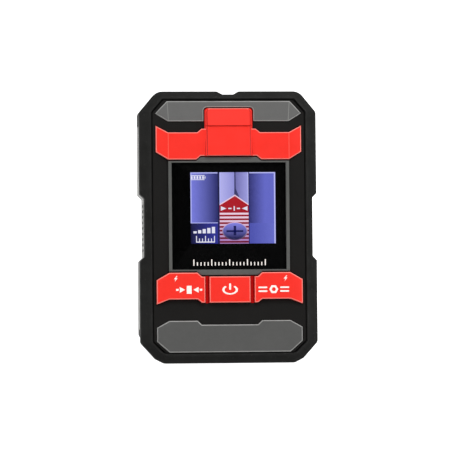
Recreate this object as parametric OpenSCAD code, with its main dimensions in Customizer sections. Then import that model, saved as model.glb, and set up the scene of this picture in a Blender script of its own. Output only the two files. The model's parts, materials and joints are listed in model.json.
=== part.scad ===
// Handheld stud finder, lying on its back.
// The pads rest on Z = 0, the display looks up along +Z and the marking notch is at +Y.

/* [Body] */
// Width over the rubber frame
body_w = 83; // [82.5:0.25:84]
// Length from the marking notch's edge to the lower end
body_l = 127; // [126:0.5:129]
// Height at which the two halves of the casing meet
split_z = 15; // [15:0.1:15.4]
// Height of the rubber frame's outer edge
rim_z = 21; // [20.5:0.1:21.5]
// Height of the black front face
face_z = 24.4; // [24.2:0.1:24.6]
// Thickness of the felt pads
pad_t = 0.8; // [0.6:0.1:0.8]
// Wall thickness of both halves
wall = 2; // [1.8:0.1:2]
// Thickness of the rubber over the casing
skin = 1.8; // [1.6:0.1:1.8]

/* [Outline] */
// Width of each cut corner
corner_x = 8.1; // [7.5:0.1:8.6]
// Length of each cut corner
corner_y = 9.7; // [9:0.1:10]
// Length of each side's finger notch
grip_l = 31.4; // [26:0.2:34]
// Depth of each side's finger notch
grip_depth = 2.1; // [1:0.1:2.2]
// Width of the marking notch at the edge
notch_w = 10.2; // [7:0.2:14]
// Depth of the marking notch
notch_depth = 1.5; // [0.8:0.1:1.6]

/* [Display] */
// Width of the clear window
lens_w = 53.3; // [52.5:0.1:53.4]
// Height of the clear window
lens_h = 49.7; // [49.2:0.1:49.8]
// Width of the picture
view_w = 39.8; // [36:0.2:40]
// Height of the picture
view_h = 33.3; // [30:0.1:33.4]

/* [Keys] */
// Travel of each key
key_travel = 0.4; // [0.2:0.05:0.4]
// Height of the key tops
key_z = 26.4; // [26:0.1:26.8]
// Gap between a key and its frame
key_gap = 0.25; // [0.2:0.05:0.3]

/* [Battery] */
// Diameter of a cell
cell_d = 10.5; // [10:0.1:10.5]
// Length of a cell, with its button
cell_l = 44.5; // [44:0.1:44.9]

/* [Hidden] */
$fn = 40;
cut = 0.01; // overlap that keeps a cut clean
fit = 0.1; // gap around a glued or seated piece
half_w = body_w / 2;
half_l = body_l / 2;

// Heights, from the resting surface up
back_z = pad_t;
floor_z = back_z + wall;
skirt_z = 3.3;
roof_z = split_z - 1;
board_z = split_z + 0.6;
board_t = 1.6;
board_top = board_z + board_t;
plate_z = face_z - 2;
seat_z = face_z - 1.1;
core_rim_z = rim_z - 1.5;
core_top_z = face_z - 1.2;
crease_z = face_z + 0.4;
panel_z = face_z + 0.6;
lens_z = face_z + 0.6;
bezel_z = face_z + 0.8;
wing_z = face_z + 1.4;
crest_z = face_z + 2.6;
fold_drop = 0.7; // how far the outer facets of keys and trim fall
lens_t = 1.5;
label_t = 0.2;

// Widths of the front face, measured from the centre line
groove = 0.5;
face_x = half_w - 6.1;
trim_gap = 1.25; // black strip between the trim and the edge of the face
trim_x = face_x - trim_gap;
fold_x = trim_x - 5.9;
step_x = 15.1;
step_dx = 2;
face_top = half_l - 4.4;
face_bottom = -half_l + 5.2;
side_y = 47.5; // half length of the bare side of the rear half
foot_cut = 1.9; // how far the two lower corners are cut back below the rim

// Trim, seen from the front: each list is the right half, from top to bottom
UPPER_PANEL = [[fold_x + 0.5, 58.7], [trim_x + 0.1, 53], [fold_x, 49.3]];
CREST = [
    [step_x - 2.4, 45.9], [step_x - 0.4, 44.2], [fold_x, 44.2], [trim_x, 47.4],
    [trim_x, 34.9], [fold_x, 31.35], [step_x, 31.35], [step_x - step_dx, 33]
];
KEY_BAND = [
    [step_x - step_dx, -23.05], [step_x, -21.2], [fold_x, -21.2], [trim_x, -24.6],
    [trim_x, -36], [fold_x, -33.7], [step_x, -33.7], [step_x - step_dx, -35.3]
];
LOWER_PANEL = [
    [step_x - step_dx, -45.4], [step_x, -43.5], [fold_x, -43.5], [trim_x, -46.7],
    [trim_x, -53.3], [fold_x + 0.3, -58.4]
];
BEZEL = [
    [step_x - 1.8, 32.6], [step_x + 0.1, 30.9], [fold_x + 0.1, 30.9],
    [fold_x + 0.1, -20.7], [step_x + 0.3, -20.7], [step_x - 1.7, -22.5]
];
tab_x = 11.2; // half width of the crest's raised centre
tab_top = 55.4;
tab_crease = 47.3;
tab_r = 1.5;

// Display
lens_y = 5.1;
view_x = 2;
view_y = 8.9;
lcd_w = 48.8;
lcd_h = 38.9;
lcd_x = -0.1;
lcd_y = 8.85;
holder_t = 1.4;
lcd_z = board_top + holder_t;
lcd_top = seat_z - 0.7;
glass_t = 1.7;
tin = 0.3; // sheet thickness of the display's metal tray

// Keys
power_x = 9.6;
side_x = 11.5;
STUD = [-21.8, -28];
POWER = [0, -29.2];
METAL = [21.8, -28];
base_t = 1.7;
plunger_top = board_top + 2.4;
plunger_r = 1.6;
flange_z = plate_z - 2;
flange_t = 0.7;

// Battery bay
bay_x = 26.8;
bay_y = -39.2;
bay_l = 34;
bay_wall = 1.4;
cell_pitch = 11.2;
cell_z = 3.3 + cell_d / 2;
button_l = 0.8;
cell_body = cell_l - button_l;
contact_x = 25.9;
contact_t = 0.4;
door_x = 27.5;
door_t = 1.4;
tongue = 1.1;
door_top = -20.3;
slack = 0.15;
channel_h = 1.55; // depth of the channel that the door slides in
rail_x = 30.2;
rail_top = 3.8;
bay_z = 3.2; // where the bay widens to its full length
bay_mouth_x = 26.2;
contact_z = 8.6; // middle of the sheet contacts
contact_h = 8;
pad_x = 20; // half width of the pad inside the door
pad_top = 3;
LEAD_HOLES = [[-26, -50.4], [26, -28]];

// Felt strips and label on the back
pad_strip_x = 33.8;
label_y = 2;
label_w = 40;
label_h = 22;

// Finger grooves on each side: one in the middle and groove_n to either side of it
groove_n = 4;
groove_pitch = 2.6;
groove_w = 1.2;
groove_depth = 0.5;
groove_low = 4;
groove_high = split_z - 1.5;

// Fasteners
screw_x = 32.5;
screw_y = 50;
screw_seat = 6.8;
BOARD_SCREWS = [[30, 36.5], [-30, 36.5], [30, -39.8], [-30, -39.8]];
STAKES = [[24, 45], [-24, 45], [24, -11], [-24, -11]];
sense_z = floor_z + 1.4;
sense_t = 1.2;
sense_top = sense_z + sense_t;
coil_y = 20;

// ---------- Outlines ----------

function mirrored(half) = concat(
    [for (p = half) [p[0], p[1]]],
    [for (i = [len(half) - 1:-1:0]) [-half[i][0], half[i][1]]]
);

function unit(v) = v / norm(v);

// The arc of radius r that replaces the corner b between a and c
function corner(a, b, c, r, steps = 4) =
    r == 0 ? [b] :
    let (
        u = unit(a - b),
        v = unit(c - b),
        half = acos(u * v) / 2,
        mid = b + unit(u + v) * r / sin(half),
        from = b + u * r / tan(half) - mid,
        to = b + v * r / tan(half) - mid
    )
    [for (i = [0:steps]) mid + r * unit(from * (steps - i) + to * i)];

// Points given as [x, y, radius], with each corner rounded
function rounded(points) = [
    for (i = [0:len(points) - 1])
        let (
            n = len(points),
            a = points[(i + n - 1) % n],
            b = points[i],
            c = points[(i + 1) % n]
        )
        each corner([a[0], a[1]], [b[0], b[1]], [c[0], c[1]], b[2])
];

function both_sides(half) = concat(
    half,
    [for (i = [len(half) - 1:-1:0]) [-half[i][0], half[i][1], half[i][2]]]
);

OUTLINE = [
    [half_w - corner_x, half_l, 6], [half_w, half_l - corner_y, 3.4],
    [half_w, -half_l + corner_y, 3.4], [half_w - 0.85 * corner_x, -half_l + 2.1, 4],
    [half_w - 11, -half_l, 5]
];

// The outline seen from the front, without its notches
module rim_convex() polygon(rounded(both_sides(OUTLINE)));

// The finger notches and the marking notch, grown by d
module notches(d) {
    for (s = [0, 1]) mirror([s, 0, 0]) offset(delta = d) polygon(rounded([
        [half_w - grip_depth, grip_l / 2 - 2, 0.6], [half_w + 8, grip_l / 2 + 7.6, 0],
        [half_w + 8, -grip_l / 2 - 7.6, 0], [half_w - grip_depth, -grip_l / 2 + 2, 0.6]
    ]));
    offset(delta = d) polygon([
        [-notch_w / 4, half_l - notch_depth], [-3 * notch_w / 4, half_l + notch_depth],
        [3 * notch_w / 4, half_l + notch_depth], [notch_w / 4, half_l - notch_depth]
    ]);
}

module inset_rim(d) difference() {
    offset(delta = -d) rim_convex();
    notches(d);
}

// What is cut off the two lower corners below the rim
module lower_corners(d) {
    a = [half_w, -half_l + corner_y];
    b = [half_w - 0.85 * corner_x, -half_l + 2.1];
    along = 20 * unit(a - b);
    out = [along[1], -along[0]];
    near = unit(out) * (foot_cut + d);
    for (s = [0, 1]) mirror([s, 0, 0])
        polygon([a + along - near, a + along + out, b - along + out, b - along - near]);
}

// The outline below the rim, moved in by d
module base_rim(d) difference() {
    inset_rim(d);
    lower_corners(d);
}

// The edge of the black face, grown by d
module face_outline(d = 0) offset(delta = d) polygon(mirrored([
    [face_x - 5, face_top], [face_x, face_top - 5.8],
    [face_x, face_bottom + 5.2], [face_x - 5.4, face_bottom]
]));

// The rear half shows at the long sides, and the rubber covers its ends
module rear_outline() {
    base_rim(skin);
    intersection() {
        inset_rim(0);
        square([body_w + 2, 2 * side_y], center = true);
    }
}

module trim_outline(half, d = 0) offset(delta = d) polygon(mirrored(half));

module tab_outline(d = 0) offset(delta = d) polygon(rounded(both_sides([
    [tab_x, tab_top, tab_r], [tab_x, 33, 0]
])));

module crest_outline(d = 0) {
    trim_outline(CREST, d);
    tab_outline(d);
}

// A rectangle given by its centre and size
module rect(x, y, w, h, d = 0) translate([x, y]) square([w + 2 * d, h + 2 * d], center = true);

module slab(z0, z1) translate([0, 0, z0]) linear_extrude(z1 - z0) children();

module block(x0, x1, y0, y1, z0, z1) translate([x0, y0, z0]) cube([x1 - x0, y1 - y0, z1 - z0]);

module at(points) for (p = points) translate([p[0], p[1], 0]) children();

module post(r, z0, z1) translate([0, 0, z0]) cylinder(r = r, h = z1 - z0);

// Takes off what lies above a fold that falls from fold_x to trim_x
module fold_cut(top) for (s = [0, 1]) mirror([s, 0, 0])
    rotate([90, 0, 0]) linear_extrude(2 * body_l, center = true)
        polygon([
            [fold_x, top], [fold_x + 20, top - fold_drop * 20 / (trim_x - fold_x)],
            [fold_x + 20, top + 5], [fold_x, top + 5]
        ]);

// ---------- Casing ----------

// Outer shape of the lower half of the case, with its bevelled back edge
module rear_shape() intersection() {
    slab(back_z, split_z) rear_outline();
    hull() {
        slab(back_z, split_z) offset(delta = -1.6) rim_convex();
        slab(back_z + 1.6, split_z) rim_convex();
    }
}

module bay_shell() block(
    -bay_x - bay_wall, bay_x + bay_wall,
    bay_y - bay_l / 2 - 1.2, bay_y + bay_l / 2 + 1.2,
    floor_z - cut, split_z
);

// The thicker floor that holds the door's rails
module rail_floor() intersection() {
    rear_shape();
    block(-rail_x, rail_x, -half_l, door_top + 2, back_z, rail_top);
}

module screw_points() at([
    [screw_x, screw_y], [-screw_x, screw_y], [screw_x, -screw_y], [-screw_x, -screw_y]
]) children();

// Upright grooves for the fingers, in the bottom of both side notches
module grip_grooves() for (s = [-1, 1], i = [-groove_n:groove_n])
    translate([s * (half_w - grip_depth), i * groove_pitch, (groove_low + groove_high) / 2])
        cube([2 * groove_depth, groove_w, groove_high - groove_low], center = true);

module rear_housing() color("dimgray") difference() {
    union() {
        difference() {
            rear_shape();
            slab(floor_z, split_z + cut) offset(delta = -wall) rear_outline();
        }
        rail_floor();
        bay_shell();
        screw_points() post(3.75, floor_z - cut, split_z);
        at(STAKES) {
            post(2, floor_z - cut, sense_z);
            post(0.9, floor_z, sense_top + 0.8);
        }
    }
    // Bay for the cells, open to the back
    block(-bay_x, bay_x, bay_y - bay_l / 2, bay_y + bay_l / 2, bay_z, roof_z);
    block(
        -bay_mouth_x, bay_mouth_x, bay_y - bay_l / 2, bay_y + bay_l / 2,
        back_z - cut, bay_z + cut
    );
    // Channel and rails for the door
    block(
        -door_x - slack, door_x + slack,
        -half_l, door_top + slack, back_z - cut, back_z + channel_h
    );
    block(
        -door_x - tongue - slack, door_x + tongue + slack,
        -half_l, door_top + slack, back_z + 0.6, back_z + channel_h
    );
    block(-pad_x - 0.4, pad_x + 0.4, -half_l, bay_y + bay_l / 2, back_z, pad_top + 0.1);
    // Slots for the contacts, and holes for their leads
    for (s = [-1, 1]) translate([s * (contact_x + contact_t / 2), bay_y, contact_z])
        cube([contact_t + 0.1, bay_l - 1, contact_h + 1], center = true);
    at(LEAD_HOLES) post(1, roof_z - 1, split_z + cut);
    screw_points() {
        post(2.8, back_z - cut, screw_seat);
        post(1.45, screw_seat - cut, split_z + cut);
    }
    slab(back_z - cut, back_z + label_t) rect(0, label_y, label_w, label_h, 0.2);
    grip_grooves();
}

// Outer shape of the front half, under the rubber
module front_core() difference() {
    hull() {
        slab(split_z, core_rim_z) offset(delta = -skin) rim_convex();
        slab(split_z, core_top_z) face_outline(groove + 0.7);
    }
    slab(split_z - 1, face_z) notches(skin);
}

module front_cavity() difference() {
    hull() {
        slab(split_z - cut, core_rim_z - 1) offset(delta = -skin - wall)
            polygon(mirrored(OUTLINE));
        slab(split_z - cut, plate_z) face_outline(-wall);
    }
    slab(split_z - 1, face_z) notches(skin + wall);
}

module front_housing() color([0.09, 0.09, 0.09]) difference() {
    union() {
        difference() {
            front_core();
            front_cavity();
        }
        slab(plate_z, face_z) face_outline();
        screw_points() post(3, split_z, plate_z + cut);
        at(BOARD_SCREWS) post(2.4, board_top, plate_z + cut);
    }
    slab(seat_z, face_z + 1) {
        trim_outline(UPPER_PANEL, fit);
        crest_outline(fit);
        trim_outline(BEZEL, 0.05);
        trim_outline(LOWER_PANEL, fit);
    }
    slab(plate_z - 1, face_z) rect(lcd_x, lcd_y, lcd_w, lcd_h, 0.6);
    slab(plate_z - 1, face_z + 1) trim_outline(KEY_BAND, 0.22);
    slab(flange_z - 1.2, plate_z) trim_outline(KEY_BAND, 1.5);
    screw_points() post(1.27, split_z - cut, plate_z - 0.6);
    at(BOARD_SCREWS) post(0.97, board_top - cut, plate_z - 0.6);
}

module rubber_frame() color([0.15, 0.15, 0.15]) {
    difference() {
        hull() {
            slab(split_z, rim_z) rim_convex();
            slab(split_z, crease_z) face_outline(groove + 0.6);
        }
        slab(split_z - 1, crease_z + 1) notches(0);
        front_core();
        slab(core_top_z - 1, crease_z + 1) face_outline(groove);
    }
    slab(skirt_z, split_z) difference() {
        base_rim(0);
        inset_rim(skin);
        square([body_w + 2, 2 * side_y], center = true);
    }
}

module felt_pads() color([0.2, 0.2, 0.21]) slab(0, pad_t) {
    for (s = [-1, 1]) rect(s * pad_strip_x, 0, 6, 82);
    rect(0, half_l - 9.5, 36, 7);
}

module rating_label() color("lightgray") slab(back_z, back_z + label_t)
    rect(0, label_y, label_w, label_h);

// ---------- Front trim ----------

module upper_panel() color([0.35, 0.35, 0.35]) difference() {
    slab(seat_z, panel_z) difference() {
        trim_outline(UPPER_PANEL);
        tab_outline(0.3);
    }
    fold_cut(panel_z);
}

module lower_panel() color([0.32, 0.32, 0.32]) difference() {
    slab(seat_z, panel_z) trim_outline(LOWER_PANEL);
    fold_cut(panel_z);
}

module crest_centre() intersection() {
    slab(seat_z, crest_z) tab_outline();
    // Side slopes
    rotate([90, 0, 0]) linear_extrude(2 * body_l, center = true) polygon([
        [-tab_x, seat_z], [tab_x, seat_z], [tab_x, wing_z], [tab_x - 1.2, crest_z],
        [1.2 - tab_x, crest_z], [-tab_x, wing_z]
    ]);
    // The fall towards the marking notch
    rotate([90, 0, 90]) linear_extrude(2 * tab_x + 1, center = true) polygon([
        [30, seat_z], [60, seat_z], [60, wing_z], [tab_top, wing_z],
        [tab_crease, crest_z], [30, crest_z]
    ]);
}

module red_crest() color([0.9, 0.15, 0.1]) {
    difference() {
        slab(seat_z, wing_z) trim_outline(CREST);
        fold_cut(wing_z);
    }
    crest_centre();
}

module display_bezel() color([0.36, 0.36, 0.35]) slab(seat_z, bezel_z) difference() {
    trim_outline(BEZEL);
    rect(0, lens_y, lens_w, lens_h, fit);
}

module display_lens() color([0.1, 0.1, 0.12, 0.4]) slab(lens_z - lens_t, lens_z)
    rect(0, lens_y, lens_w, lens_h);

module lens_mask() color("black") slab(seat_z, lens_z - lens_t) difference() {
    rect(0, lens_y, lens_w, lens_h, -fit);
    rect(view_x, view_y, view_w, view_h);
}

// ---------- Display module ----------

module lcd_gasket() color([0.07, 0.07, 0.07]) slab(lcd_top, seat_z) difference() {
    rect(lcd_x, lcd_y, lcd_w, lcd_h, -0.9);
    rect(view_x, view_y, view_w, view_h, 0.5);
}

module lcd_panel() color([0.45, 0.45, 0.85]) slab(lcd_top - glass_t, lcd_top)
    rect(lcd_x, lcd_y, lcd_w, lcd_h, -tin - 0.05);

module backlight() color("white") slab(lcd_z + tin, lcd_top - glass_t)
    rect(lcd_x, lcd_y, lcd_w, lcd_h, -tin - 0.05);

module lcd_tray() color("silver") difference() {
    slab(lcd_z, lcd_top - 1.2) rect(lcd_x, lcd_y, lcd_w, lcd_h);
    slab(lcd_z + tin, lcd_top) rect(lcd_x, lcd_y, lcd_w, lcd_h, -tin);
}

module lcd_holder() color("ivory") slab(board_top, lcd_z) difference() {
    rect(lcd_x, lcd_y, lcd_w, lcd_h);
    rect(lcd_x, lcd_y, lcd_w, lcd_h, -3);
}

flex_y = lcd_y - lcd_h / 2;
flex_z = lcd_z + 0.9;

// Ribbon that runs out of the display, bends down and enters its connector
module lcd_flex() color([0.75, 0.5, 0.15]) rotate([90, 0, 90])
    linear_extrude(16, center = true) polygon([
        [flex_y, flex_z], [flex_y - 1.9, flex_z], [flex_y - 2.9, flex_z - 0.7],
        [flex_y - 3.4, board_top + 0.8], [flex_y - 5, board_top + 0.8],
        [flex_y - 5, board_top + 0.6], [flex_y - 3.2, board_top + 0.6],
        [flex_y - 2.7, flex_z - 0.9], [flex_y - 1.8, flex_z - 0.2], [flex_y, flex_z - 0.2]
    ]);

module flex_connector() color("ivory") difference() {
    block(-9, 9, flex_y - 8, flex_y - 4, board_top, board_top + 1.5);
    block(-8.1, 8.1, flex_y - 5.1, flex_y - 3, board_top + 0.55, board_top + 0.85);
}

// ---------- Keys ----------

module key_outline(side, d = 0) offset(delta = d) intersection() {
    trim_outline(KEY_BAND);
    if (side == 0) rect(0, -28, 2 * power_x, 40);
    else translate([side * (side_x + 20), -28]) square([40, 40], center = true);
}

module key_frame() color([0.75, 0.08, 0.06]) difference() {
    union() {
        slab(plate_z - cut, face_z + 0.2) trim_outline(KEY_BAND, 0.2);
        slab(flange_z + flange_t + 0.1, plate_z) trim_outline(KEY_BAND, 1.2);
    }
    for (side = [-1, 0, 1]) slab(flange_z, face_z + 1) key_outline(side, key_gap);
}

// A hollow cap with a flange below the frame, and a stem that meets its switch
module key(side, centre) color([0.92, 0.16, 0.1]) {
    difference() {
        union() {
            slab(flange_z, key_z) key_outline(side);
            slab(flange_z, flange_z + flange_t) key_outline(side, 0.6);
        }
        fold_cut(key_z);
        slab(flange_z - cut, key_z - 2.2) key_outline(side, -1.4);
    }
    translate(centre) {
        post(1.7, plunger_top + 0.02, key_z - 2);
        for (a = [0, 90]) rotate(a) block(-4, 4, -0.4, 0.4, flange_z, key_z - 2);
    }
}

module plunger(centre) color("black") translate(centre)
    post(plunger_r, board_top + base_t - key_travel, plunger_top);

module switch_bases() color("silver") at([STUD, POWER, METAL]) difference() {
    slab(board_top, board_top + base_t) rect(0, 0, 6, 6);
    post(plunger_r + 0.1, board_top + base_t - 2 * key_travel - 0.05, board_top + base_t + cut);
}

// ---------- Main board ----------

CONTROLLER = [-12, 14];
CRYSTAL = [-24, 14];
BUZZER = [22, 28];
CAPACITORS = [[-26, 28], [-18, 30]];
INDUCTOR = [22, 8];
REGULATOR = [10, 14];
SMALL_PARTS = [
    [-4, 24], [-1, 24], [2, 24], [-20, 4], [-17, 4], [0, 6], [3, 6], [6, 6], [14, -4], [17, -4]
];

module main_board() color("darkgreen") difference() {
    slab(board_z, board_top) polygon(mirrored([
        [32, 40], [34, 38], [34, -41], [32, -43]
    ]));
    at(BOARD_SCREWS) post(1.1, board_z - cut, board_top + cut);
    at([LEAD_HOLES[1]]) post(1, board_z - cut, board_top + cut);
}

module board_screw() {
    difference() {
        post(1.8, board_z - 1.2, board_z);
        for (a = [0, 90]) rotate(a) block(-1.1, 1.1, -0.25, 0.25, board_z - 2, board_z - 0.6);
    }
    post(0.95, board_z - cut, plate_z - 0.8);
}

module board_screws() color("silver") at(BOARD_SCREWS) board_screw();

// A square chip below the main board, with its legs
module microcontroller() color([0.12, 0.12, 0.12]) at([CONTROLLER]) {
    slab(board_z - 1.5, board_z - 0.1) rect(0, 0, 9, 9);
    for (a = [0:90:270], i = [-4:4]) rotate(a) translate([i * 0.9, 5, 0])
        slab(board_z - 0.9, board_z) rect(0, -0.4, 0.35, 1.6);
}

module crystal() color("gainsboro") at([CRYSTAL]) hull() for (s = [-1, 1])
    translate([0, s * 3, 0]) post(1.8, board_z - 3.2, board_z);

module buzzer() color([0.1, 0.1, 0.1]) at([BUZZER]) difference() {
    post(5.5, board_z - 4.6, board_z);
    post(1, board_z - 5, board_z - 3);
}

module filter_capacitors() color("slategray") at(CAPACITORS)
    post(2.9, board_z - 5.2, board_z);

module chip_parts() color("tan") at(SMALL_PARTS) slab(board_z - 0.8, board_z) rect(0, 0, 1.2, 2);

module power_inductor() color([0.25, 0.25, 0.27]) at([INDUCTOR]) {
    slab(board_z - 3, board_z) rect(0, 0, 6.6, 6.6);
    post(2.4, board_z - 3.3, board_z - 2);
}

module voltage_regulator() color([0.12, 0.12, 0.12]) at([REGULATOR]) {
    slab(board_z - 1.6, board_z - 0.1) rect(0, 0, 6.5, 3.5);
    for (x = [-2.3, 0, 2.3]) slab(board_z - 0.8, board_z) rect(x, -2.2, 0.8, 2);
    slab(board_z - 0.8, board_z) rect(0, 2.2, 3, 2);
}

// ---------- Sensing board ----------

module sensor_board() color("seagreen") difference() {
    slab(sense_z, sense_top) rect(0, 20, 54, 68);
    at(STAKES) post(1, sense_z - cut, sense_top + cut);
}

// Three copper plates that face the wall
module sensor_plates() color([0.8, 0.5, 0.25]) slab(sense_z - 0.2, sense_z) {
    rect(0, 22, 8, 60);
    for (s = [-1, 1]) rect(s * 13.5, 17, 13, 46);
}

module ring(r0, r1, z0, z1) translate([0, coil_y, 0]) difference() {
    post(r1, z0, z1);
    post(r0, z0 - 1, z1 + 1);
}

module coil_former() color("ivory") {
    ring(15, 22.5, sense_top, sense_top + 0.8);
    ring(15, 17, sense_top, sense_top + 3.6);
    ring(15, 22.5, sense_top + 2.8, sense_top + 3.6);
}

module metal_coil() color([0.75, 0.38, 0.15])
    ring(17.05, 22, sense_top + 0.85, sense_top + 2.75);

module sensor_chips() color([0.12, 0.12, 0.12]) at([[-18, -8.5], [18, -8.5]]) {
    slab(sense_top + 0.1, sense_top + 1.6) rect(0, 0, 5, 4);
    for (s = [-1, 1], i = [-1.5:1.5]) slab(sense_top, sense_top + 0.9)
        rect(i * 1.27, s * 2.4, 0.4, 1.6);
}

pins_y = -9;
PINS = [for (i = [-3.5:3.5]) [i * 2.54, pins_y]];

module sensor_header() color("black") {
    slab(sense_top, sense_top + 2.5) rect(0, pins_y, 20.3, 2.5);
    at(PINS) slab(sense_top, 13) rect(0, 0, 0.64, 0.64);
}

module board_socket() color("black") difference() {
    slab(sense_top + 2.6, board_z) rect(0, pins_y, 20.3, 2.5);
    at(PINS) slab(sense_top, 13.2) rect(0, 0, 0.8, 0.8);
}

// ---------- Battery ----------

// A round cell along X, with its button towards dir
module cell(row, dir) color("goldenrod") translate([0, bay_y + row * cell_pitch, cell_z])
    rotate([0, dir * 90, 0]) {
        translate([0, 0, -cell_body / 2]) cylinder(d = cell_d, h = cell_body);
        translate([0, 0, cell_body / 2 - cut]) cylinder(r = 1.9, h = button_l + cut);
    }

// Points around a conical coil that narrows as it climbs
spring_l = contact_x - cell_body / 2;
spring_turns = 3.5;
spring_wire = 0.3;
spring_sides = 6;
spring_steps = 30;

function spring_ring(i) =
    let (
        t = i / spring_steps,
        a = 360 * spring_turns * t,
        r = 3.6 - 1.4 * t,
        z = spring_wire + (spring_l - 2 * spring_wire) * t
    )
    [for (k = [0:spring_sides - 1])
        let (b = 360 * k / spring_sides)
        [(r + spring_wire * cos(b)) * cos(a), (r + spring_wire * cos(b)) * sin(a),
            z + spring_wire * sin(b)]
    ];

// A closed tube through rings of points
module tube(rings) {
    n = len(rings[0]);
    last = len(rings) - 1;
    polyhedron(
        points = [for (ring = rings) each ring],
        faces = concat(
            [[for (k = [0:n - 1]) k]],
            [for (i = [0:last - 1], k = [0:n - 1])
                [i * n + k, (i + 1) * n + k, (i + 1) * n + (k + 1) % n, i * n + (k + 1) % n]],
            [[for (k = [n - 1:-1:0]) last * n + k]]
        )
    );
}

module contact_springs() color("silver")
    for (c = [[-1, -1], [0, 1], [1, -1]])
        translate([c[1] * contact_x, bay_y + c[0] * cell_pitch, cell_z])
            rotate([0, -c[1] * 90, 0])
                tube([for (i = [0:spring_steps]) spring_ring(i)]);

// Sheet contacts at both ends, with a pressed boss where a cell's button lands
module contact_plates() color("lightgray") {
    for (c = [[-1, -1, 0], [1, 1, 0], [-1, 0.5, 1], [1, -0.5, 1]]) {
        x = c[0] > 0 ? contact_x : -contact_x - contact_t;
        w = 4 + c[2] * cell_pitch / 2;
        y = bay_y + c[1] * cell_pitch;
        block(x, x + contact_t, y - w, y + w, contact_z - contact_h / 2, contact_z + contact_h / 2);
    }
    for (c = [[-1, 1], [0, -1], [1, 1]])
        translate([c[1] * contact_x, bay_y + c[0] * cell_pitch, cell_z])
            rotate([0, -c[1] * 90, 0])
                translate([0, 0, -0.1]) cylinder(
                    r1 = 3, r2 = 2.2, h = contact_x - cell_body / 2 - button_l + 0.08
                );
}

lead_r = 0.6;
lead_z = board_top + lead_r + 0.05;
LEAD_RED = [
    [26, -28, 12.7], [26, -28, lead_z - 0.3], [26.3, -28, lead_z + 0.2], [26.9, -28, lead_z + 0.4],
    [28, -28, lead_z + 0.4], [29, -28, lead_z], [31, -28, lead_z]
];
LEAD_BLACK = [
    [-26, -50.4, 12.7], [-26, -50.4, lead_z - 0.6], [-26, -50, lead_z], [-26, -49.2, lead_z + 0.3],
    [-26, -44.4, lead_z + 0.3], [-26, -43.4, lead_z], [-26, -41, lead_z]
];

// A wire through its points, which all lie above one straight line
module lead(points) {
    last = len(points) - 1;
    run = unit([points[last][0] - points[0][0], points[last][1] - points[0][1], 0]);
    across = cross([0, 0, 1], run);
    tube([for (i = [0:last])
        let (
            ahead = unit(points[min(i + 1, last)] - points[max(i - 1, 0)]),
            up = cross(ahead, across)
        )
        [for (k = [0:7]) points[i] + lead_r * (across * cos(45 * k) + up * sin(45 * k))]
    ]);
}

module battery_lead_red() color("red") lead(LEAD_RED);

module battery_lead_black() color("black") lead(LEAD_BLACK);

// The door slides towards -Y on its two tongues
module battery_door() color("dimgray") difference() {
    intersection() {
        union() {
            block(-door_x, door_x, -half_l, door_top, back_z, back_z + door_t);
            block(
                -door_x - tongue, door_x + tongue, -half_l, door_top,
                back_z + 0.7, back_z + door_t
            );
        }
        rear_shape();
    }
    for (i = [0:4]) translate([0, door_top - 6 - 1.8 * i, back_z])
        cube([16 - 2 * i, 0.8, 0.9], center = true);
}

module door_pad() color([0.25, 0.25, 0.25])
    block(-pad_x, pad_x, bay_y - bay_l / 2 + 1, bay_y + bay_l / 2 - 1, back_z + door_t, pad_top);

// ---------- Fasteners ----------

module housing_screw() {
    difference() {
        post(2.5, screw_seat - 1.9, screw_seat);
        for (a = [0, 90]) rotate(a) block(-1.4, 1.4, -0.3, 0.3, 4, screw_seat - 0.8);
    }
    post(1.25, screw_seat - cut, plate_z - 1);
}

module housing_screws() color("silver") screw_points() housing_screw();

// ---------- Nodes ----------

rear_housing();
front_housing();
rubber_frame();
upper_panel();
lower_panel();
red_crest();
key_frame();
key(-1, STUD);  // stud_key
key(0, POWER);  // power_key
key(1, METAL);  // metal_key
display_bezel();
display_lens();
lens_mask();
lcd_gasket();
lcd_panel();
backlight();
lcd_tray();
lcd_holder();
lcd_flex();
flex_connector();
main_board();
microcontroller();
crystal();
buzzer();
filter_capacitors();
chip_parts();
power_inductor();
voltage_regulator();
switch_bases();
plunger(STUD);  // stud_plunger
plunger(POWER);  // power_plunger
plunger(METAL);  // metal_plunger
board_screws();
sensor_board();
sensor_plates();
coil_former();
metal_coil();
sensor_chips();
sensor_header();
board_socket();
cell(-1, 1);  // cell_a
cell(0, -1);  // cell_b
cell(1, 1);  // cell_c
contact_springs();
contact_plates();
battery_lead_red();
battery_lead_black();
battery_door();
door_pad();
housing_screws();
felt_pads();
rating_label();
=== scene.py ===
import json
import math

import bmesh
import bpy
from mathutils import Matrix, Vector


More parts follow.
